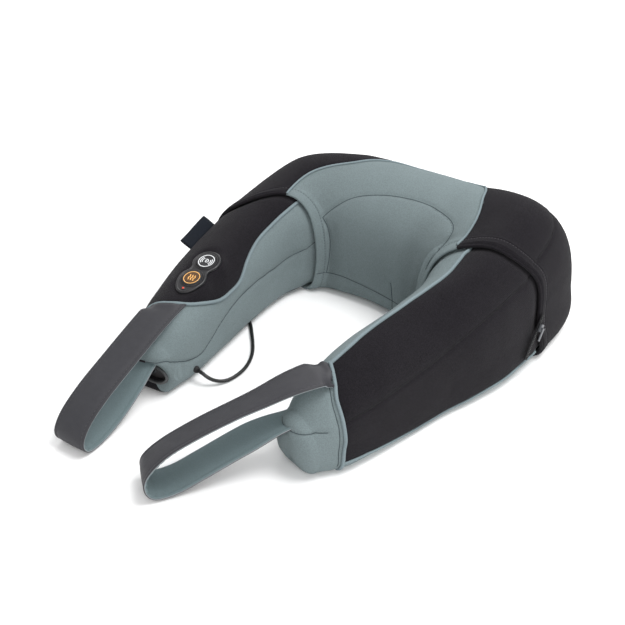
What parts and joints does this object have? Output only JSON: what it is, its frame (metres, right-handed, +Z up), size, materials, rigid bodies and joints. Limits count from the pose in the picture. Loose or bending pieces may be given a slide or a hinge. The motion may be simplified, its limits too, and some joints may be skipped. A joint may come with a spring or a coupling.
{
  "type": "shiatsu neck massager",
  "caption": "Soft horseshoe collar with a kneading mechanism in its back, hand loops, push-button controls and a power lead.",
  "frame": {"origin": "middle of the box round the collar and its loops, on the surface that it lies on", "axes": "+Z up; the collar opens towards -Y, its back is at +Y, the control arm is at -X"},
  "size_m": [0.4066, 0.4898, 0.1371],
  "materials": {
    "grey_knit": "dense brushed knit, matt",
    "black_knit": "dense brushed knit, matt, faint heather",
    "cover_knit": "dense brushed knit, matt, grey centre and black outer panels",
    "foam": "open-cell foam core",
    "strap": "artificial leather, satin, stitched edges, knit lining",
    "tag": "woven satin label, blank",
    "zip": "woven tape with a coil zip",
    "zip_metal": "cast, dark nickel",
    "black_plastic": "moulded, glossy",
    "port_rim": "moulded, satin",
    "jack": "moulded socket",
    "board": "printed circuit board",
    "switch": "moulded",
    "massage_button": "moulded, white ring and symbol",
    "heat_button": "moulded, amber ring and symbol",
    "lamp": "clear tinted",
    "rubber": "moulded, matt",
    "cord": "smooth insulated cord",
    "case": "moulded, fine texture",
    "steel": "machined",
    "brass": "machined",
    "gear": "moulded acetal",
    "arm": "moulded, glass filled",
    "node": "moulded, soft-touch",
    "bush": "sintered bronze",
    "white_plastic": "moulded"
  },
  "bodies": {
    "collar": {"left_arm_pad": "grey_knit", "right_arm_pad": "black_knit", "centre_cover": "cover_knit", "collar_foam": "foam", "left_hand_loop": "strap", "right_hand_loop": "strap", "cloth_tag": "tag", "zip_tape": "zip", "control_housing": "black_plastic", "control_bezel": "black_plastic", "control_board": "board", "massage_switch": "switch", "heat_switch": "switch", "status_lamp": "lamp", "port_housing": "black_plastic", "port_bezel": "port_rim", "power_jack": "jack", "cord_gland": "rubber", "power_lead": "cord", "lead_coil": "cord", "coil_tie": "rubber", "inline_socket": "black_plastic", "wiring_harness": "cord", "gearbox_front": "case", "gearbox_rear": "case", "case_screw_1": "steel", "case_screw_2": "steel", "case_screw_3": "steel", "case_screw_4": "steel", "motor_can": "steel", "motor_end_cap": "white_plastic", "left_heat_post": "white_plastic", "left_heat_lamp": "lamp", "left_front_bush": "bush", "left_rear_bush": "bush", "right_heat_post": "white_plastic", "right_heat_lamp": "lamp", "right_front_bush": "bush", "right_rear_bush": "bush"},
    "left_head": {"left_head_arm": "arm", "left_axle": "steel", "left_worm_wheel": "gear", "left_upper_pin": "steel", "left_lower_pin": "steel"},
    "left_upper_roller": {"left_upper_node": "node"},
    "left_lower_roller": {"left_lower_node": "node"},
    "right_head": {"right_head_arm": "arm", "right_axle": "steel", "right_worm_wheel": "gear", "right_upper_pin": "steel", "right_lower_pin": "steel"},
    "right_upper_roller": {"right_upper_node": "node"},
    "right_lower_roller": {"right_lower_node": "node"},
    "motor_rotor": {"motor_shaft": "steel", "left_worm": "brass", "right_worm": "brass"},
    "massage_key": {"massage_button": "massage_button"},
    "heat_key": {"heat_button": "heat_button"},
    "zip_runner": {"zip_slider": "zip_metal"},
    "zip_tab": {"zip_pull": "zip_metal"}
  },
  "joints": [
    {"name": "left_head_spin", "type": "hinge", "parent": "collar", "child": "left_head", "pos_m": [-0.0569, 0.1858, 0.058], "axis": [0, 1, 0], "continuous": true},
    {"name": "right_head_spin", "type": "hinge", "parent": "collar", "child": "right_head", "pos_m": [0.0471, 0.1858, 0.058], "axis": [0, 1, 0], "continuous": true},
    {"name": "motor_spin", "type": "hinge", "parent": "collar", "child": "motor_rotor", "pos_m": [-0.0049, 0.1858, 0.03], "axis": [1, 0, 0], "continuous": true},
    {"name": "left_upper_roller_spin", "type": "hinge", "parent": "left_head", "child": "left_upper_roller", "pos_m": [-0.07556, 0.1378, 0.04634], "axis": [0, 1, 0], "continuous": true},
    {"name": "left_lower_roller_spin", "type": "hinge", "parent": "left_head", "child": "left_lower_roller", "pos_m": [-0.03824, 0.1378, 0.06966], "axis": [0, 1, 0], "continuous": true},
    {"name": "right_upper_roller_spin", "type": "hinge", "parent": "right_head", "child": "right_upper_roller", "pos_m": [0.02844, 0.1378, 0.06966], "axis": [0, 1, 0], "continuous": true},
    {"name": "right_lower_roller_spin", "type": "hinge", "parent": "right_head", "child": "right_lower_roller", "pos_m": [0.06576, 0.1378, 0.04634], "axis": [0, 1, 0], "continuous": true},
    {"name": "massage_press", "type": "slide", "parent": "collar", "child": "massage_key", "axis": [0.04, 0.1902, -0.9809], "range_m": [0, 0.0008], "stiffness_N_per_m": 900},
    {"name": "heat_press", "type": "slide", "parent": "collar", "child": "heat_key", "axis": [0.04, 0.1902, -0.9809], "range_m": [0, 0.0008], "stiffness_N_per_m": 900},
    {"name": "zip_run", "type": "slide", "parent": "collar", "child": "zip_runner", "axis": [0.0464, -0.6019, -0.7972], "range_m": [-0.008, 0.028]},
    {"name": "zip_tab_swing", "type": "hinge", "parent": "zip_runner", "child": "zip_tab", "pos_m": [0.17739, 0.14016, 0.04923], "axis": [0.0612, -0.7949, 0.6037], "range_deg": [0, 165]}
  ],
  "couplings": [
    {"joint": "right_head_spin", "follows": "left_head_spin", "ratio": -1},
    {"joint": "motor_spin", "follows": "left_head_spin", "ratio": 24}
  ]
}
